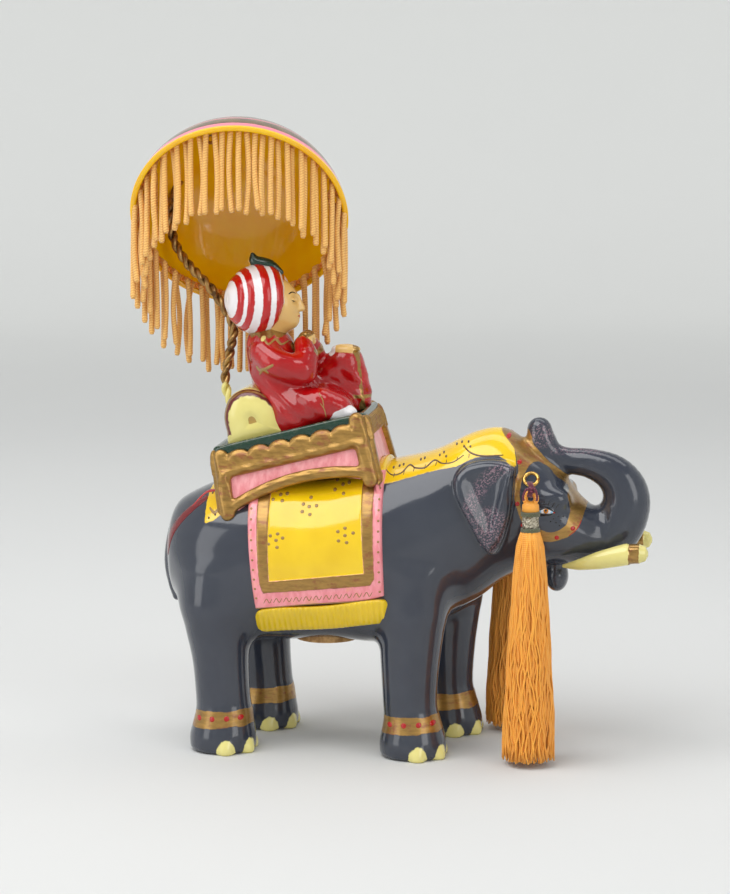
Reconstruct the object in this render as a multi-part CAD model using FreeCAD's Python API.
"""Elephant still bank: a hollow two-piece cast elephant that carries a saddle seat with a rider,
a bolster and a tilted parasol. Coins go in through a slot in the seat's rear wall and come out
through the stopper hole in the belly. Millimetres. +X runs towards the head, +Y to the elephant's
left and +Z up. The model is drawn about the middle of the barrel at floor level, and is moved at
the end so that the middle of its footprint box is the origin."""

import FreeCAD, Part
import math
import os
from FreeCAD import Placement, Rotation, Vector

# ---- driving dimensions -------------------------------------------------------------------------
BODY_LENGTH = 140.0  # rump to the front of the face
BACK_HEIGHT = 85.0  # floor to the top of the back
BODY_WIDTH = 54.0  # across the barrel
WALL = 3.0  # castings of the elephant
FIT = 0.05  # gap all round where a moving piece runs in or on another

LEG_SPREAD = 34.0  # left leg centre to right leg centre
LEG_STAGGER = 7.6  # the left legs stand this far in front of the right ones
EAR_RELIEF = 2.2
TAIL_RADIUS = 2.1

SEAT_LENGTH = 48.2  # along the pitched deck
SEAT_WIDTH_TOP = 30.0
SEAT_WIDTH_BASE = 40.0
SEAT_DEPTH = 21.0  # deck to the lower edge of the side frames
SEAT_PITCH = 14.2  # degrees, front end up
SEAT_WALL = 2.2
SEAT_FLARE = 1.6  # the rear wall leans out by this much
DECK_THICKNESS = 4.0
DECK_RIM = 1.0  # height of the deck's raised edge
DECK_OVERHANG = 0.7
FRAME_THICKNESS = 1.4
FRAME_POST = 4.5
FRAME_RAIL = 9.1
FRAME_ARCH_RAIL = 4.2
FRAME_ARCH_RISE = 5.4
SCALLOPS = 7
SCALLOP_HEIGHT = 1.5
COIN_SLOT_LENGTH = 27.5
COIN_SLOT_HEIGHT = 4.8
COIN_SLOT_DEPTH = 8.6  # below the deck
CLOTH_THICKNESS = 1.6
CLOTH_BAND_THICKNESS = 3.2

STOPPER_RADIUS = 10.5  # at the belly face
STOPPER_TAPER = 0.9  # how much the radius shrinks over the seated length
STOPPER_LENGTH = 9.0
STOPPER_PROUD = 0.6  # what stands below the lowest line of the belly
COLLAR_WALL = 2.5

BODY_SCREW_RADIUS = 1.5
SCREW_HEAD_RADIUS = 3.0
SCREW_HEAD_HEIGHT = 2.0
SCREW_CLEARANCE = 0.15
BOSS_WALL = 3.0
SMALL_SCREW_RADIUS = 1.0
SMALL_SCREW_LENGTH = 9.0
SMALL_HEAD_RADIUS = 2.0
SMALL_HEAD_HEIGHT = 1.4

TUSK_RADII = (3.4, 3.9, 3.7, 2.9, 2.2)

BOLSTER_LENGTH = 25.0
BOLSTER_HEIGHT = 16.2
BOLSTER_BUTTON = 1.2
BOLSTER_SPOT = -11.5  # along the deck from its middle
RIDER_HEIGHT = 51.4  # lap to the top of the turban
TURBAN_RADIUS = 11.4

STEM_RADIUS = 1.6
CANOPY_RADIUS = 34.0  # at the rim
CANOPY_CAP_ANGLE = 80.0  # half angle of the spherical cap, in degrees
CANOPY_WALL = 1.8
CANOPY_TILT = 57.0  # degrees that the dome leans over to the left
CANOPY_TURN = 6.0  # degrees that the lean points rearward
CANOPY_OFFSET = Vector(-6.6, 0.0, 25.7)  # middle of the turban to the middle of the rim
BRAID_HEIGHT = 2.6
BRAID_THICKNESS = 1.3
FRINGE_COUNT = 76
FRINGE_RADIUS = 0.9
FRINGE_LENGTH = 24.0
FRINGE_ROW_GAP = 3.1  # between the two rows where the rim runs steeply

EYE_RING_RADIUS = 2.1  # to the middle of the wire
EYE_WIRE_RADIUS = 0.55
EYE_STAND_OFF = 2.6  # from the ear's widest point to the ring
EYE_STAGGER = 10.0  # the left eye sits this far behind the right one
TIE_RADIUS = 2.3
TIE_THREAD_RADIUS = 0.4
LOOP_RADIUS = 1.65
LOOP_CORD_RADIUS = 0.9
TASSEL_CORE_RADIUS = 2.0
TASSEL_SLEEVE = 0.7  # thickness of the wraps round the neck
BINDING_HEIGHT = 1.6
WRAP_HEIGHT = 3.4
TASSEL_SKIRT_RADIUS = 8.2
TASSEL_FLOOR_GAP = 1.4

# ---- the elephant's proportions, drawn for a body 140 long, 85 high and 54 wide -------------------
ALONG = BODY_LENGTH / 140.0
UP = BACK_HEIGHT / 85.0
ACROSS = BODY_WIDTH / 54.0

# place along, height of the middle, half width, half height, squareness
BODY_SECTIONS = (
    (-62.0, 60.0, 7.0, 9.0, 2.0),
    (-59.5, 60.0, 13.5, 15.0, 2.05),
    (-54.0, 59.5, 19.5, 19.5, 2.1),
    (-45.0, 58.5, 24.0, 24.0, 2.15),
    (-30.0, 58.5, 26.5, 26.0, 2.2),
    (-10.0, 59.3, 27.0, 25.7, 2.2),
    (8.0, 61.5, 26.0, 28.5, 2.2),
    (22.0, 66.5, 23.0, 27.0, 2.2),
    (35.0, 73.0, 19.0, 26.5, 2.15),
    (44.0, 77.0, 17.5, 23.5, 2.1),
    (52.0, 76.5, 17.0, 19.0, 2.05),
    (60.0, 74.0, 15.5, 15.5, 2.0),
    (67.0, 70.0, 13.0, 10.5, 2.0),
    (73.0, 67.5, 9.5, 8.0, 2.0),
)
CAVITY_SECTIONS = BODY_SECTIONS[2:8]

# height, forward lean, radius
REAR_LEG = ((0.0, 0.0, 9.4), (1.3, 0.0, 10.2), (5.0, 0.0, 10.3), (9.0, 0.2, 9.5), (12.5, 0.4, 8.9),
            (17.0, 0.0, 8.5), (28.0, -0.8, 8.8), (38.0, -1.6, 10.2), (46.0, -2.2, 11.2), (56.0, -2.0, 9.0))
FRONT_LEG = ((0.0, 0.0, 9.4), (1.3, 0.0, 10.2), (5.0, 0.0, 10.3), (9.0, -0.1, 9.4), (12.5, -0.4, 8.7),
             (17.0, -1.0, 8.4), (28.0, -1.0, 9.1), (38.0, -0.6, 10.0), (46.0, 0.0, 10.6), (56.0, 0.6, 9.0))
REAR_LEG_X = -38.6 * ALONG
FRONT_LEG_X = 21.3 * ALONG
LEG_TOP_INSET = 2.0  # the thighs lean in by this much

# along, height, radius, from the tip down to the root inside the face
TRUNK = ((54.6, 100.6, 3.9), (55.4, 97.0, 4.3), (57.8, 92.9, 4.3), (62.6, 91.0, 4.0), (70.3, 90.1, 4.6),
         (77.1, 87.3, 5.8), (81.0, 82.4, 6.9), (81.5, 76.4, 7.6), (78.3, 69.8, 8.1), (72.8, 66.4, 7.9),
         (65.5, 67.0, 7.4))
TAIL = ((-57.0, 74.0, 0.8), (-61.0, 65.0, 1.0), (-62.4, 55.0, 1.0), (-60.2, 45.0, 0.8))
EAR = ((37.1, 92.4), (43.0, 92.8), (48.3, 91.1), (48.4, 85.9), (47.5, 76.3), (44.8, 67.3), (42.0, 63.8),
       (38.6, 67.0), (34.7, 74.5), (31.0, 81.8), (30.2, 87.0), (32.6, 90.6))
TUSK = ((63.5, 9.5, 62.3), (72.8, 12.6, 62.3), (82.6, 13.0, 63.7), (84.0, 13.0, 63.9), (89.2, 12.6, 64.3))
CLOTH = ((-34.6, 110.0), (-33.7, 78.9), (-30.5, 45.7), (9.8, 50.0), (8.2, 87.6), (8.2, 110.0))
CLOTH_BAND = ((-30.9, 45.6), (-30.4, 38.8), (10.9, 44.2), (10.4, 50.2))
LIP_CENTRE = (60.4, 54.6)
STOPPER_X = -12.0 * ALONG
BACK_OPENING = ((-29.0, -2.0), 22.0)  # along from and to, and width
BODY_SCREW_SPOTS = ((-50.0, 62.0), (21.0, 78.0))
SEAT_MIDDLE = (-22.0, 100.5)  # middle of the deck, along and up
EYE_SPOT = (54.1, 88.1)

RIGHT = -1.0
LEFT = 1.0
BIG = 400.0


# ---- helpers ------------------------------------------------------------------------------------
def along(value):
    """A place along the nominal elephant, on this one."""
    return value * ALONG


def up(value):
    """A height on the nominal elephant, on this one."""
    return value * UP


def across(value):
    """A width of the nominal elephant, on this one."""
    return value * ACROSS


def closed_curve(points):
    curve = Part.BSplineCurve()
    curve.interpolate(points, PeriodicFlag=True)
    return Part.Wire(curve.toShape())


def superellipse(centre, half_width, half_height, squareness, count=16):
    """A ring across X: an ellipse whose shoulders fill out as squareness grows above 2."""
    power = 2.0 / squareness
    points = []
    for i in range(count):
        angle = 2.0 * math.pi * i / count
        c, s = math.cos(angle), math.sin(angle)
        y = half_width * math.copysign(abs(c) ** power, c)
        z = half_height * math.copysign(abs(s) ** power, s)
        points.append(centre + Vector(0, y, z))
    return closed_curve(points)


def circle(centre, direction, radius):
    return Part.Wire(Part.makeCircle(radius, centre, direction))


def loft(wires):
    return Part.makeLoft(wires, True, False)


def body_loft(sections, grow=0.0):
    """The barrel, neck and head as one skin, moved outward by grow."""
    last = len(sections) - 1
    wires = []
    for i, (x, z, half_width, half_height, squareness) in enumerate(sections):
        shift = -grow if i == 0 else grow if i == last else 0.0
        centre = Vector(along(x) + shift, 0, up(z))
        wires.append(superellipse(centre, across(half_width) + grow, up(half_height) + grow, squareness))
    return loft(wires)


def tapered_rod(points, radii):
    """A rod along points, with a round section square to its path at each of them."""
    wires = []
    for i, point in enumerate(points):
        before = points[max(i - 1, 0)]
        after = points[min(i + 1, len(points) - 1)]
        wires.append(circle(point, after - before, radii[i]))
    return loft(wires)


def rounded_path(points, share=0.45):
    """Straight runs joined by tangent arcs, each as large as its two runs allow."""
    edges = []
    start = points[0]
    for before, corner, after in zip(points, points[1:], points[2:]):
        into = corner - before
        out = after - corner
        half_turn = into.getAngle(out) / 2.0
        reach = share * min(into.Length, out.Length)
        into.normalize()
        out.normalize()
        first = corner - into * reach
        last = corner + out * reach
        bisector = (out - into).normalize()
        radius = reach / math.tan(half_turn)
        middle = corner + bisector * (radius / math.cos(half_turn) - radius)
        edges.append(Part.LineSegment(start, first).toShape())
        edges.append(Part.Arc(first, middle, last).toShape())
        start = last
    edges.append(Part.LineSegment(start, points[-1]).toShape())
    return Part.Wire(edges)


def tube(points, radius):
    path = rounded_path(points)
    ring = circle(points[0], points[1] - points[0], radius)
    return path.makePipeShell([ring], True, True)


def prism(outline, side, near, far):
    """A flat outline in along and up, carried across from near to far on one side."""
    corners = [Vector(along(x), side * near, up(z)) for x, z in outline]
    face = Part.Face(Part.makePolygon(corners + corners[:1]))
    return face.extrude(Vector(0, side * (far - near), 0))


def rounded_prism(outline, side, near, far):
    """As prism, with a smooth closed curve through the outline's points."""
    face = Part.Face(closed_curve([Vector(along(x), side * near, up(z)) for x, z in outline]))
    return face.extrude(Vector(0, side * (far - near), 0))


def egg(centre, axis, radius, half_length):
    """A round-sectioned egg about an axis, with small flat ends."""
    axis = axis.normalize()
    points = []
    radii = []
    for share in (-0.97, -0.8, -0.45, 0.0, 0.45, 0.8, 0.97):
        points.append(centre + axis * (share * half_length))
        radii.append(radius * math.sqrt(1.0 - share * share))
    return tapered_rod(points, radii)


def capsule(start, end, start_radius, end_radius):
    """A tapering limb with round ends."""
    direction = end - start
    rod = Part.makeCone(start_radius, end_radius, direction.Length, start, direction)
    return rod.fuse([Part.makeSphere(start_radius, start), Part.makeSphere(end_radius, end)])


def fused(shapes):
    return shapes[0].fuse(shapes[1:]).removeSplitter()


def half_space(side):
    """Everything on one side of the parting plane."""
    corner = Vector(-BIG, 0 if side > 0 else -BIG, -BIG)
    return Part.makeBox(2 * BIG, BIG, 2 * BIG, corner)


def sleeve(bottom, height, inner, outer):
    ring = Part.makeCylinder(outer, height, bottom)
    return ring.cut(Part.makeCylinder(inner, height, bottom))


def main_solids(shape):
    """The shape without crumbs that a cut has left behind."""
    largest = max(solid.Volume for solid in shape.Solids)
    return Part.makeCompound([solid for solid in shape.Solids if solid.Volume > 0.02 * largest])


# ---- the elephant -------------------------------------------------------------------------------
def leg(sections, x, side):
    wires = []
    for height, lean, radius in sections:
        inward = LEG_TOP_INSET * height / sections[-1][0]
        centre = Vector(x + lean, side * (LEG_SPREAD / 2.0 - inward), up(height))
        wires.append(circle(centre, Vector(0, 0, 1), radius))
    return loft(wires)


def legs():
    made = []
    for side in (RIGHT, LEFT):
        shift = side * LEG_STAGGER / 2.0
        made.append(leg(REAR_LEG, REAR_LEG_X + shift, side))
        made.append(leg(FRONT_LEG, FRONT_LEG_X + shift, side))
    return made


def trunk():
    points = [Vector(along(x), 0, up(z)) for x, z, _ in TRUNK]
    return tapered_rod(points, [radius for _, _, radius in TRUNK])


def tail():
    points = [Vector(along(x), 0, up(z)) for x, z, _ in TAIL]
    return tapered_rod(points, [TAIL_RADIUS * share for _, _, share in TAIL])


def ears(grown):
    made = []
    for side in (RIGHT, LEFT):
        made.append(rounded_prism(EAR, side, 2.0, BODY_WIDTH).common(grown))
    return made


def lower_lip():
    return egg(Vector(along(LIP_CENTRE[0]), 0, up(LIP_CENTRE[1])), Vector(0, 0, 1), 3.4, 4.8)


def stopper_face():
    """Height of the belly's lowest line at the stopper hole."""
    section = BODY_SECTIONS[5]
    return up(section[1] - section[3])


def elephant_outside():
    parts = [body_loft(BODY_SECTIONS), trunk(), tail(), lower_lip()]
    parts += legs()
    parts += ears(body_loft(BODY_SECTIONS, EAR_RELIEF))
    return fused(parts)


def stopper_cone(extra, bottom, top):
    """The stopper's tapered seat between two heights above the belly face."""
    slope = STOPPER_TAPER / STOPPER_LENGTH
    low = STOPPER_RADIUS - slope * bottom + extra
    high = STOPPER_RADIUS - slope * top + extra
    return Part.makeCone(low, high, top - bottom, Vector(STOPPER_X, 0, stopper_face() + bottom))


def tusk_rod(side):
    points = [Vector(along(x), side * across(y), up(z)) for x, y, z in TUSK]
    return tapered_rod(points, TUSK_RADII)


def screw_axis(spot):
    return Vector(along(spot[0]), 0, up(spot[1]))


def screw_depths(spot):
    """How far out the head's seat lies, and where the screw's point ends on the other side."""
    x = along(spot[0])
    half = across(min(s[2] for s in BODY_SECTIONS[2:8] if abs(along(s[0]) - x) < along(9.0)))
    return half - 5.5, half - 11.0


def boss(spot, radius):
    start = screw_axis(spot)
    return Part.makeCylinder(radius, 2 * BODY_WIDTH, start - Vector(0, BODY_WIDTH, 0), Vector(0, 1, 0))


def body_screw(spot, clearance=0.0, head_clearance=0.0, head_reach=0.0):
    seat, point = screw_depths(spot)
    start = screw_axis(spot) - Vector(0, point, 0)
    shank = Part.makeCylinder(BODY_SCREW_RADIUS + clearance, seat + point, start, Vector(0, 1, 0))
    head = Part.makeCylinder(SCREW_HEAD_RADIUS + head_clearance, SCREW_HEAD_HEIGHT + head_reach,
                             screw_axis(spot) + Vector(0, seat, 0), Vector(0, 1, 0))
    return shank.fuse(head).removeSplitter()


def driver_slot(spot):
    seat, _ = screw_depths(spot)
    centre = screw_axis(spot) + Vector(0, seat + SCREW_HEAD_HEIGHT, 0)
    return Part.makeBox(2 * SCREW_HEAD_RADIUS + 1, 1.6, 0.8, centre - Vector(SCREW_HEAD_RADIUS + 0.5, 0.8, 0.4))


def elephant_halves(outside, extra_holes):
    """Two castings that meet on the middle plane, with the chamber, the collar and the holes."""
    chamber = body_loft(CAVITY_SECTIONS, -WALL)
    collar_radius = STOPPER_RADIUS + COLLAR_WALL
    collar = Part.makeCylinder(collar_radius, STOPPER_LENGTH + 3.0, Vector(STOPPER_X, 0, stopper_face() - 2.0))
    collar = collar.common(outside)
    posts = [boss(spot, BODY_SCREW_RADIUS + BOSS_WALL).common(outside) for spot in BODY_SCREW_SPOTS]
    shell = outside.cut(chamber).fuse([collar] + posts)
    (start, end), width = BACK_OPENING
    opening = Part.makeBox(along(end - start), width, up(40.0), Vector(along(start), -width / 2.0, up(72.0)))
    cuts = [stopper_cone(FIT, -6.0, STOPPER_LENGTH + 3.0), opening] + extra_holes
    for spot in BODY_SCREW_SPOTS:
        cuts.append(body_screw(spot, 0.0, 0.0, BODY_WIDTH).common(half_space(RIGHT)))
        cuts.append(body_screw(spot, SCREW_CLEARANCE, SCREW_CLEARANCE, BODY_WIDTH).common(half_space(LEFT)))
    shell = shell.cut(Part.makeCompound(cuts))
    return {side: main_solids(shell.common(half_space(side))) for side in (RIGHT, LEFT)}


def belly_stopper():
    seated = stopper_cone(0.0, 0.0, STOPPER_LENGTH)
    bottom = Vector(STOPPER_X, 0, stopper_face() - STOPPER_PROUD)
    foot = Part.makeCone(STOPPER_RADIUS - 0.5, STOPPER_RADIUS, STOPPER_PROUD, bottom)
    return seated.fuse(foot).removeSplitter()


# ---- saddle cloth and seat ----------------------------------------------------------------------
def cloth(side, outside):
    """A raised cloth over the back and down one flank, with a thicker band along its lower edge."""
    main = prism(CLOTH, side, 0.0, BODY_WIDTH).common(body_loft(BODY_SECTIONS, CLOTH_THICKNESS)).cut(outside)
    (start, end), width = BACK_OPENING
    opening = Part.makeBox(along(end - start), width, up(60.0), Vector(along(start), -width / 2.0, up(72.0)))
    return main_solids(main.cut(opening))


def cloth_band(side, outside, cloth_shape):
    thick = body_loft(BODY_SECTIONS, CLOTH_BAND_THICKNESS)
    band = prism(CLOTH_BAND, side, 0.3 * BODY_WIDTH, BODY_WIDTH).common(thick)
    return main_solids(band.cut(outside).cut(cloth_shape))


def seat_placement():
    return Placement(Vector(along(SEAT_MIDDLE[0]), 0, up(SEAT_MIDDLE[1])),
                     Rotation(Vector(0, 1, 0), -SEAT_PITCH))


def placed(shape, placement):
    moved = shape.copy()
    moved.Placement = placement.multiply(moved.Placement)
    return moved


def seat_rectangle(height, inset):
    """The seat's outline at a height below the deck, inset from the outer faces."""
    share = -height / SEAT_DEPTH
    rear = -SEAT_LENGTH / 2.0 - SEAT_FLARE * share + inset
    front = SEAT_LENGTH / 2.0 + 0.3 * share - inset
    half = (SEAT_WIDTH_TOP + (SEAT_WIDTH_BASE - SEAT_WIDTH_TOP) * share) / 2.0 - inset
    corners = [Vector(rear, -half, height), Vector(front, -half, height),
               Vector(front, half, height), Vector(rear, half, height)]
    return Part.makePolygon(corners + corners[:1])


def seat_prism(top, bottom, inset):
    return Part.makeLoft([seat_rectangle(bottom, inset), seat_rectangle(top, inset)], True, True)


def arch_edge(rise_extra, height_extra):
    """Three points of the side frame's lower arch."""
    span = SEAT_LENGTH / 2.0
    return (Vector(-span + 2.4, 0, -side_height() + height_extra),
            Vector(1.4, 0, -side_height() + FRAME_ARCH_RISE + height_extra + rise_extra),
            Vector(span - 0.6, 0, -side_height() + height_extra))


def side_height():
    """Length of the side face down its slope."""
    return math.hypot(SEAT_DEPTH, (SEAT_WIDTH_BASE - SEAT_WIDTH_TOP) / 2.0)


def side_slope():
    return math.degrees(math.atan2((SEAT_WIDTH_BASE - SEAT_WIDTH_TOP) / 2.0, SEAT_DEPTH))


def on_side(shape, side):
    """Moves a piece drawn upright in the XZ plane onto the seat's sloping side."""
    tilt = Placement(Vector(0, side * SEAT_WIDTH_TOP / 2.0, 0), Rotation(Vector(1, 0, 0), side * side_slope()))
    return placed(placed(shape, tilt), seat_placement())


def under_arch(side):
    """The space below the side frame's arch, through the seat's wall."""
    left, top, right = arch_edge(0.0, 0.0)
    drop = Vector(0, 0, -12.0)
    edges = [Part.Arc(left, top, right).toShape(), Part.makeLine(right, right + drop),
             Part.makeLine(right + drop, left + drop), Part.makeLine(left + drop, left)]
    face = Part.Face(Part.Wire(edges))
    return on_side(face.extrude(Vector(0, side * 12.0, 0)).fuse(face.extrude(Vector(0, -side * 4.0, 0))), side)


def seat_box(seat_on):
    """Open-ended box that stands on the cloth, with lugs for the screws and the coin slot."""
    outer = seat_prism(-DECK_THICKNESS, -SEAT_DEPTH - 4.0, 0.0)
    inner = seat_prism(1.0, -SEAT_DEPTH - 9.0, SEAT_WALL)
    walls = placed(outer.cut(inner), seat_placement())
    for side in (RIGHT, LEFT):
        walls = walls.cut(under_arch(side))
    lugs = []
    inside = placed(seat_prism(-DECK_THICKNESS, -SEAT_DEPTH - 6.0, 0.5 * SEAT_WALL), seat_placement())
    for spot in seat_screw_spots():
        x, y = spot
        height = SMALL_SCREW_LENGTH + 1.5
        block = Part.makeBox(8.0, 12.0, height, Vector(x - 4.0, y - 6.0, seat_screw_height(spot)))
        lugs.append(block.common(inside))
    box = walls.fuse(lugs).cut(coin_slot())
    for shape in seat_on:
        box = box.cut(shape)
    return main_solids(box.cut(Part.makeCompound([seat_screw(spot) for spot in seat_screw_spots()])))


def coin_slot():
    """A level slot through the rear wall of the seat."""
    wall = seat_placement().multVec(Vector(-SEAT_LENGTH / 2.0, 0.0, -COIN_SLOT_DEPTH))
    corner = wall - Vector(3.0, COIN_SLOT_LENGTH / 2.0, COIN_SLOT_HEIGHT / 2.0)
    return Part.makeBox(SEAT_WALL + 7.0, COIN_SLOT_LENGTH, COIN_SLOT_HEIGHT, corner)


def seat_screw_spots():
    """One screw up through each half of the elephant, beside the seat's side walls."""
    return ((along(-35.5), across(-12.5)), (along(3.5), across(12.5)))


def seat_screw_height(spot):
    """Where the screw's head bears, on the inside of the elephant's back."""
    x, y = spot
    section = BODY_SECTIONS[4] if x < 0 else BODY_SECTIONS[6]
    share = math.sqrt(1.0 - (y / across(section[2])) ** 2)
    return up(section[1] + section[3] * share) - WALL


def seat_screw(spot, clearance=0.0):
    base = Vector(spot[0], spot[1], seat_screw_height(spot))
    shank = Part.makeCylinder(SMALL_SCREW_RADIUS + clearance, SMALL_SCREW_LENGTH, base)
    head = Part.makeCylinder(SMALL_HEAD_RADIUS + clearance, SMALL_HEAD_HEIGHT, base - Vector(0, 0, SMALL_HEAD_HEIGHT))
    return shank.fuse(head).removeSplitter()


def deck():
    """Tray on top of the seat, with a raised edge."""
    length = SEAT_LENGTH + 2 * DECK_OVERHANG
    width = SEAT_WIDTH_TOP + 2 * DECK_OVERHANG
    plate = Part.makeBox(length, width, DECK_THICKNESS, Vector(-length / 2.0, -width / 2.0, -DECK_THICKNESS))
    plate = plate.makeFillet(1.0, [e for e in plate.Edges if abs(e.CenterOfMass.z + DECK_THICKNESS / 2.0) < 0.1])
    margin = SEAT_WALL + DECK_OVERHANG
    dish = Part.makeBox(length - 2 * margin, width - 2 * margin, DECK_RIM,
                        Vector(-length / 2.0 + margin, -width / 2.0 + margin, -DECK_RIM))
    return placed(plate.cut(dish), seat_placement())


def side_frame(side, seat_on):
    """Gilt frame on one side of the seat: posts, a scalloped top rail and an arched lower rail."""
    half = SEAT_LENGTH / 2.0
    height = side_height()
    top = -DECK_THICKNESS / 2.0
    left, crown, right = arch_edge(0.0, 0.0)
    pitch = 2.0 * half / SCALLOPS
    edges = []
    for i in range(SCALLOPS):
        start = Vector(-half + i * pitch, 0, top)
        end = Vector(-half + (i + 1) * pitch, 0, top)
        edges.append(Part.Arc(start, (start + end) * 0.5 + Vector(0, 0, SCALLOP_HEIGHT), end).toShape())
    low_right = Vector(half + 0.3, 0, -height - 1.0)
    low_left = Vector(-half - SEAT_FLARE, 0, -height - 1.0)
    edges += [Part.makeLine(Vector(half, 0, top), low_right), Part.makeLine(low_right, right),
              Part.Arc(right, crown, left).toShape(), Part.makeLine(left, low_left),
              Part.makeLine(low_left, Vector(-half, 0, top))]
    plate = Part.Face(Part.Wire(edges)).extrude(Vector(0, side * FRAME_THICKNESS, 0))
    window_top = top - FRAME_RAIL + SCALLOP_HEIGHT
    a, b, c = arch_edge(0.0, FRAME_ARCH_RAIL)
    a = Vector(-half + FRAME_POST - SEAT_FLARE, 0, a.z + 0.4)
    c = Vector(half - FRAME_POST, 0, c.z + 0.8)
    top_left = Vector(-half + FRAME_POST - SEAT_FLARE / 2.0, 0, window_top)
    top_right = Vector(c.x, 0, window_top)
    window = [Part.Arc(a, b, c).toShape(), Part.makeLine(c, top_right), Part.makeLine(top_right, top_left),
              Part.makeLine(top_left, a)]
    frame = plate.cut(Part.Face(Part.Wire(window)).extrude(Vector(0, side * FRAME_THICKNESS, 0)))
    frame = on_side(frame, side)
    for shape in seat_on:
        frame = frame.cut(shape)
    return main_solids(frame)


# ---- rider and bolster --------------------------------------------------------------------------
def on_deck(x, y, z):
    """A point given along, across and above the middle of the deck's dished floor, in the seat's frame."""
    return seat_placement().multVec(Vector(x, y, z - DECK_RIM))


def above_deck():
    """Everything above the deck's dished floor."""
    block = Part.makeBox(BIG, BIG, BIG, Vector(-BIG / 2.0, -BIG / 2.0, -DECK_RIM))
    return placed(block, seat_placement())


RIDER_SCALE = RIDER_HEIGHT / 51.4


def rider_point(x, y, z):
    """A point of the rider, drawn upright from the middle of the lap, for a rider of the usual size."""
    lap = on_deck(0.0, 0.0, 0.0)
    return Vector(lap.x + x * RIDER_SCALE, y * RIDER_SCALE, lap.z + z * RIDER_SCALE)


def limb(start, end, start_radius, end_radius):
    return capsule(rider_point(*start), rider_point(*end), start_radius * RIDER_SCALE, end_radius * RIDER_SCALE)


def torso():
    # height, place along, half depth, half width
    sections = ((-3.0, 2.0, 11.5, 12.0), (6.0, 1.8, 11.0, 12.4), (12.0, -2.6, 10.2, 12.0),
                (17.0, -5.6, 8.9, 11.0), (22.7, -7.4, 8.0, 10.4), (27.2, -8.3, 7.2, 8.8),
                (30.4, -8.8, 5.4, 6.4), (32.6, -9.0, 3.8, 4.2))
    wires = []
    for z, x, depth, width in sections:
        points = []
        for i in range(12):
            angle = math.pi * i / 6.0
            points.append(rider_point(x + depth * math.cos(angle), width * math.sin(angle), z))
        wires.append(closed_curve(points))
    return loft(wires)


def rider_body(on):
    """Seated figure: coat, both arms raised to the chest, one leg folded and one knee up."""
    parts = [torso()]
    for side in (RIGHT, LEFT):
        parts.append(limb((-9.0, side * 7.8, 24.0), (3.4, side * 9.4, 20.0), 3.9, 4.3))
        parts.append(limb((3.4, side * 9.4, 20.0), (2.8, side * 3.4, 26.6), 4.3, 2.6))
    parts.append(limb((0.0, -6.6, 6.0), (14.0, -9.0, 8.6), 6.4, 4.6))
    parts.append(limb((14.0, -9.0, 8.6), (17.0, -9.4, 7.6), 4.4, 3.4))
    parts.append(limb((2.0, 6.0, 8.0), (14.6, 8.0, 19.6), 6.0, 5.2))
    parts.append(limb((14.6, 8.0, 19.6), (18.6, 8.0, 9.0), 5.2, 3.8))
    body = fused(parts).common(above_deck())
    for shape in on:
        body = body.cut(shape)
    return main_solids(body)


def head_pieces():
    """Turban, face and nose."""
    turban = Part.makeSphere(TURBAN_RADIUS * RIDER_SCALE, turban_centre())
    up_axis = Vector(0, 0, 1)
    face = egg(rider_point(-6.4, 0.0, 38.2), up_axis, 7.5 * RIDER_SCALE, 8.5 * RIDER_SCALE)
    nose = egg(rider_point(1.0, 0.0, 38.4), up_axis, 1.3 * RIDER_SCALE, 1.9 * RIDER_SCALE)
    return [turban, face, nose]


def turban_centre():
    return rider_point(-11.2, 0.0, 40.0)


def turban_crest():
    """Small leaf-shaped ornament on top of the turban."""
    axis = Vector(1, 0, -0.42)
    return egg(rider_point(-10.9, 0.0, 51.2), axis, 2.6 * RIDER_SCALE, 5.6 * RIDER_SCALE)


def bolster_centre():
    return on_deck(BOLSTER_SPOT, 0.0, 0.43 * BOLSTER_HEIGHT)


def bolster_section(y, share):
    """The cushion's outline across the deck: upright at the rear, sagging at the front."""
    tall = BOLSTER_HEIGHT / 16.2
    outline = ((-7.6, -2.0), (-8.7, 4.6), (-8.1, 10.0), (-5.0, 14.6), (0.0, 16.2), (4.5, 14.8),
               (8.6, 11.0), (10.7, 6.0), (11.6, 0.5), (10.5, -2.0))
    middle_x, middle_z = 0.8, 6.4
    points = []
    for x, z in outline:
        x = middle_x + (x - middle_x) * share
        z = middle_z + (z - middle_z) * share
        points.append(on_deck(BOLSTER_SPOT + x, y, z * tall))
    return closed_curve(points)


def bolster():
    """A round cushion across the deck, pressed flat below, with a button at each end."""
    half = BOLSTER_LENGTH / 2.0
    wires = []
    for part, share in ((-1.0, 0.3), (-0.95, 0.72), (-0.86, 0.9), (-0.7, 1.0), (0.0, 1.0),
                        (0.7, 1.0), (0.86, 0.9), (0.95, 0.72), (1.0, 0.3)):
        wires.append(bolster_section(part * half, share))
    roll = loft(wires)
    buttons = [Part.makeSphere(BOLSTER_BUTTON, bolster_centre() + Vector(0, side * half, 0))
               for side in (RIGHT, LEFT)]
    roll = roll.fuse(buttons).common(above_deck())
    return main_solids(roll.cut(stem()).cut(deck_screw(BOLSTER_SCREW_X)))


BOLSTER_SCREW_X = -12.0
RIDER_SCREW_X = 6.0


def deck_screw(x, clearance=0.0):
    """A screw from under the deck into the cushion or the rider."""
    base = -DECK_THICKNESS
    head = Part.makeCylinder(SMALL_HEAD_RADIUS + clearance, SMALL_HEAD_HEIGHT, Vector(x, 0, base))
    shank = Part.makeCylinder(SMALL_SCREW_RADIUS + clearance, 7.0, Vector(x, 0, base))
    return placed(head.fuse(shank).removeSplitter(), seat_placement())


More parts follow.
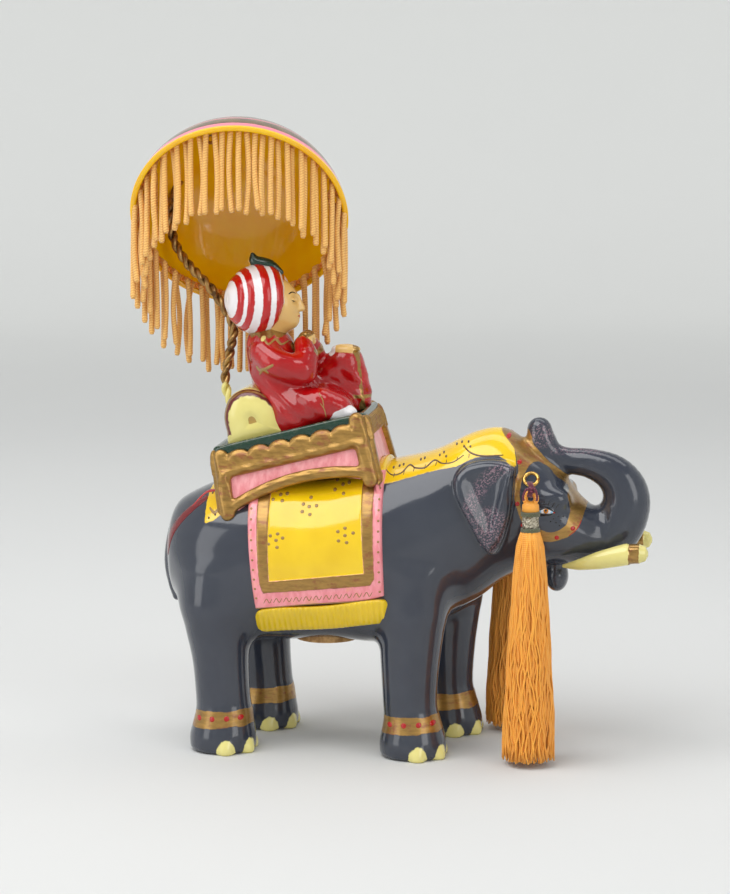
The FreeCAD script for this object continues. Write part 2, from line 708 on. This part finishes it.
# ---- parasol ------------------------------------------------------------------------------------
def canopy_axis():
    """From the open side of the dome to its crown."""
    lean = math.radians(CANOPY_TILT)
    turn = math.radians(CANOPY_TURN)
    return Vector(-math.sin(turn) * math.sin(lean), math.cos(turn) * math.sin(lean), math.cos(lean))


def canopy_centre():
    """Middle of the rim, which keeps its height above the rider's turban."""
    grow = CANOPY_RADIUS / 34.0
    return turban_centre() + CANOPY_OFFSET * grow


def canopy_placement():
    return Placement(canopy_centre(), Rotation(Vector(0, 0, 1), canopy_axis()))


def canopy_ball_radius():
    return CANOPY_RADIUS / math.sin(math.radians(CANOPY_CAP_ANGLE))


def cap_arc(radius):
    """An arc of the dome's profile from the rim plane to the crown."""
    centre_z = ball_height()
    rim = Vector(math.sqrt(radius ** 2 - centre_z ** 2), 0, 0)
    crown = Vector(0, 0, centre_z + radius)
    angle = math.atan2(rim.z - centre_z, rim.x) / 2.0 + math.pi / 4.0
    middle = Vector(radius * math.cos(angle), 0, centre_z + radius * math.sin(angle))
    return rim, middle, crown


def canopy():
    """A thin spherical bowl, opening down and to the right, with two holes for the stem's wire."""
    outer_rim, outer_middle, outer_crown = cap_arc(canopy_ball_radius())
    inner_rim, inner_middle, inner_crown = cap_arc(canopy_ball_radius() - CANOPY_WALL)
    edges = [Part.Arc(outer_rim, outer_middle, outer_crown).toShape(), Part.makeLine(outer_crown, inner_crown),
             Part.Arc(inner_crown, inner_middle, inner_rim).toShape(), Part.makeLine(inner_rim, outer_rim)]
    bowl = Part.Face(Part.Wire(edges)).revolve(Vector(0, 0, 0), Vector(0, 0, 1), 360)
    return placed(bowl, canopy_placement()).cut(stem(FIT))


def ball_height():
    """Middle of the dome's sphere, below the rim plane."""
    return -canopy_ball_radius() * math.cos(math.radians(CANOPY_CAP_ANGLE))


def fringe_braid():
    """Woven tape glued round the inside of the rim."""
    radius = canopy_ball_radius() - CANOPY_WALL
    points = []
    for share in (0.0, 0.5, 1.0):
        height = share * BRAID_HEIGHT
        points.append(Vector(math.sqrt(radius ** 2 - (height - ball_height()) ** 2), 0, height))
    low, middle, high = points
    inward = Vector(-BRAID_THICKNESS, 0, 0)
    edges = [Part.Arc(low, middle, high).toShape(), Part.makeLine(high, high + inward),
             Part.makeLine(high + inward, low + inward), Part.makeLine(low + inward, low)]
    tape = Part.Face(Part.Wire(edges)).revolve(Vector(0, 0, 0), Vector(0, 0, 1), 360)
    return placed(tape, canopy_placement()).cut(stem(FIT))


def fringe_tops():
    """Where each cord leaves the braid. Cords alternate between two rows, so that they stay side by
    side where the rim runs steeply."""
    radius = CANOPY_RADIUS - CANOPY_WALL - BRAID_THICKNESS / 2.0
    below = -FRINGE_RADIUS * math.sin(math.radians(CANOPY_TILT)) - 0.1
    placement = canopy_placement()
    tops = []
    for i in range(FRINGE_COUNT):
        angle = 2.0 * math.pi * (i + 0.5) / FRINGE_COUNT
        row = 0.5 if i % 2 else -0.5
        steep = min(1.0, 2.0 * abs(math.cos(angle - rim_side_angle())))
        out = radius + row * FRINGE_ROW_GAP * steep
        tops.append(placement.multVec(Vector(out * math.cos(angle), out * math.sin(angle), below)))
    return tops


def rim_side_angle():
    """The angle, in the rim's own plane, of the point where the rim runs steepest."""
    across_rim = canopy_placement().Rotation.inverted().multVec(Vector(0, 0, 1).cross(canopy_axis()))
    return math.atan2(across_rim.y, across_rim.x)


def fringe_cords():
    """Plain round cords that hang straight down from the braid."""
    cords = []
    for top in fringe_tops():
        cords.append(Part.makeCylinder(FRINGE_RADIUS, FRINGE_LENGTH, top, Vector(0, 0, -1)))
    return Part.makeCompound(cords)


def stem_end():
    """Where the stem goes through the dome, on its inner face."""
    return canopy_centre() + Vector(-19.8, 16.1, 11.2) * (CANOPY_RADIUS / 34.0)


def stem(extra=0.0):
    """Stiff wire from the bolster up to the dome."""
    cushion = bolster_centre()
    rim = canopy_centre()
    end = stem_end()
    through = (end - rim).normalize()
    points = [
        cushion + Vector(-3.4, 2.0, -1.4),
        cushion + Vector(-8.6, 2.0, 3.4),
        cushion + Vector(-10.6, 2.6, 10.4),
        cushion + Vector(-8.2, 3.2, 20.0),
        cushion + Vector(-7.8, 4.4, 27.4),
        rim + Vector(-7.6, 5.4, -26.0),
        rim + Vector(-11.6, 5.8, -21.0),
        rim + Vector(-17.4, 6.8, -16.2),
        rim + Vector(-22.6, 8.4, -9.6),
        rim + Vector(-24.6, 10.4, -1.4),
        end - Vector(3.4, 2.6, 4.6),
        end + through * (CANOPY_WALL + 1.5),
    ]
    return tube(points, STEM_RADIUS + extra)


# ---- tassels ------------------------------------------------------------------------------------
def ring(centre, axis, radius, wire):
    return Part.makeTorus(radius, wire, centre, axis)


def eye_centre(side):
    ear = across(BODY_SECTIONS[9][2]) + EAR_RELIEF
    back = EYE_STAGGER if side > 0 else 0.0
    return Vector(along(EYE_SPOT[0]) - back, side * (ear + EYE_STAND_OFF), up(EYE_SPOT[1]))


def eye_normal(side):
    """The ring lies flat against the temple, so it faces out and up."""
    return Vector(0, side * 0.8, 0.6)


def eye_low_point(side):
    """Middle of the wire at the bottom of the ring."""
    return eye_centre(side) - Vector(0, -side * 0.6, 0.8) * EYE_RING_RADIUS


def screw_eye(side):
    """Drawn for the left side, and turned about for the right one."""
    loop = ring(Vector(0, 0, 0), eye_normal(LEFT), EYE_RING_RADIUS, EYE_WIRE_RADIUS)
    start = Vector(EYE_RING_RADIUS, 0, 0)
    shank = Part.makeCylinder(EYE_WIRE_RADIUS, EYE_STAND_OFF + 11.0, start, Vector(0, -1, 0))
    eye = loop.fuse(shank).removeSplitter()
    if side < 0:
        eye.rotate(Vector(0, 0, 0), Vector(0, 0, 1), 180)
    eye.translate(eye_centre(side))
    return eye


def tie_centre(side):
    hole = TIE_RADIUS - TIE_THREAD_RADIUS
    return eye_low_point(side) - Vector(0, 0, hole - EYE_WIRE_RADIUS - FIT)


def tie_low_point(side):
    return tie_centre(side) - Vector(0, 0, TIE_RADIUS)


def tassel_tie(side):
    return ring(tie_centre(side), Vector(1, 0, 0), TIE_RADIUS, TIE_THREAD_RADIUS)


def loop_centre(side):
    hole = LOOP_RADIUS - LOOP_CORD_RADIUS
    return tie_low_point(side) - Vector(0, 0, hole - TIE_THREAD_RADIUS - FIT)


def neck_top(side):
    return loop_centre(side) - Vector(0, 0, LOOP_RADIUS + 0.4)


def neck_bottom(side):
    return neck_top(side) - Vector(0, 0, 2.0 + 2 * BINDING_HEIGHT + WRAP_HEIGHT)


def tassel_head(side):
    loop = ring(loop_centre(side), Vector(0, 1, 0), LOOP_RADIUS, LOOP_CORD_RADIUS)
    height = neck_top(side).z - neck_bottom(side).z
    core = Part.makeCylinder(TASSEL_CORE_RADIUS, height, neck_bottom(side))
    shoulder = sleeve(neck_bottom(side) + Vector(0, 0, height - 1.8), 1.8, TASSEL_CORE_RADIUS,
                      TASSEL_CORE_RADIUS + TASSEL_SLEEVE)
    return fused([loop, core, shoulder])


def tassel_sleeves(side):
    """The two thread bindings and the foil wrap between them."""
    outer = TASSEL_CORE_RADIUS + TASSEL_SLEEVE
    low = neck_bottom(side)
    middle = low + Vector(0, 0, BINDING_HEIGHT)
    high = middle + Vector(0, 0, WRAP_HEIGHT)
    bindings = [sleeve(low, BINDING_HEIGHT, TASSEL_CORE_RADIUS, outer + 0.3),
                sleeve(high, BINDING_HEIGHT, TASSEL_CORE_RADIUS, outer + 0.3)]
    return Part.makeCompound(bindings), sleeve(middle, WRAP_HEIGHT, TASSEL_CORE_RADIUS, outer)


def tassel_skirt(side):
    """Plain closed shape of the hanging threads."""
    top = neck_bottom(side)
    drop = top.z - TASSEL_FLOOR_GAP
    shares = ((0.0, 0.38), (0.06, 0.52), (0.2, 0.64), (0.5, 0.8), (0.8, 0.97), (1.0, 1.0))
    wires = [circle(top - Vector(0, 0, share * drop), Vector(0, 0, 1), radius * TASSEL_SKIRT_RADIUS)
             for share, radius in shares]
    return loft(wires)


# ---- assembly -----------------------------------------------------------------------------------
def all_parts():
    """Every piece by its node name, drawn about the middle of the barrel."""
    outside = elephant_outside()
    tusks = {side: tusk_rod(side) for side in (RIGHT, LEFT)}
    eyes = {side: screw_eye(side) for side in (RIGHT, LEFT)}
    seat_screws = [seat_screw(spot) for spot in seat_screw_spots()]
    loose_holes = [seat_screw(spot, SCREW_CLEARANCE) for spot in seat_screw_spots()]
    halves = elephant_halves(outside, list(tusks.values()) + list(eyes.values()) + loose_holes)
    cloths = {side: cloth(side, outside) for side in (RIGHT, LEFT)}
    bands = {side: cloth_band(side, outside, cloths[side]) for side in (RIGHT, LEFT)}
    cloths = {side: cloths[side].cut(Part.makeCompound(loose_holes)) for side in (RIGHT, LEFT)}
    seat_on = [outside, cloths[RIGHT], cloths[LEFT]]
    box = seat_box(seat_on)
    tray = deck()
    frames = {side: side_frame(side, seat_on + [tray]) for side in (RIGHT, LEFT)}
    deck_screws = [deck_screw(BOLSTER_SCREW_X), deck_screw(RIDER_SCREW_X)]
    cushion = bolster()
    head = fused(head_pieces())
    rider = rider_body([tray, cushion] + head_pieces() + deck_screws)
    screws = [body_screw(spot).cut(driver_slot(spot)) for spot in BODY_SCREW_SPOTS]
    parts = {
        "elephant_right_half": halves[RIGHT],
        "elephant_left_half": halves[LEFT],
        "body_screws": Part.makeCompound(screws),
        "belly_stopper": belly_stopper(),
        "tusk_right": tusks[RIGHT],
        "tusk_left": tusks[LEFT],
        "saddle_cloth_right": cloths[RIGHT],
        "saddle_cloth_left": cloths[LEFT],
        "cloth_band_right": bands[RIGHT],
        "cloth_band_left": bands[LEFT],
        "seat_box": box,
        "seat_screws": Part.makeCompound(seat_screws),
        "seat_frame_right": frames[RIGHT],
        "seat_frame_left": frames[LEFT],
        "seat_deck": tray.cut(Part.makeCompound([deck_screw(BOLSTER_SCREW_X, SCREW_CLEARANCE),
                                                 deck_screw(RIDER_SCREW_X, SCREW_CLEARANCE)])),
        "deck_screws": Part.makeCompound(deck_screws),
        "bolster": cushion,
        "rider_body": rider,
        "rider_head": head,
        "turban_crest": main_solids(turban_crest().cut(head)),
        "parasol_stem": stem(),
        "parasol_canopy": canopy(),
        "fringe_braid": fringe_braid(),
        "fringe_cords": fringe_cords(),
    }
    for side, name in ((RIGHT, "right"), (LEFT, "left")):
        bindings, wrap = tassel_sleeves(side)
        parts["screw_eye_" + name] = eyes[side]
        parts["tassel_tie_" + name] = tassel_tie(side)
        parts["tassel_head_" + name] = tassel_head(side)
        parts["tassel_bindings_" + name] = bindings
        parts["tassel_wrap_" + name] = wrap
        parts["tassel_skirt_" + name] = tassel_skirt(side)
    return parts


def to_origin(parts):
    """The move that brings the middle of the footprint box to the origin."""
    box = Part.makeCompound(list(parts.values())).optimalBoundingBox(True, False)
    return Vector(-(box.XMin + box.XMax) / 2.0, -(box.YMin + box.YMax) / 2.0, 0.0)


def main():
    parts = all_parts()
    shift = to_origin(parts)
    os.makedirs("parts", exist_ok=True)
    for name, shape in parts.items():
        moved = shape.copy()
        moved.translate(shift)
        moved.exportStep(os.path.join("parts", name + ".step"))
    print("moved by", [round(value, 3) for value in shift])


if __name__ == "__main__":
    main()
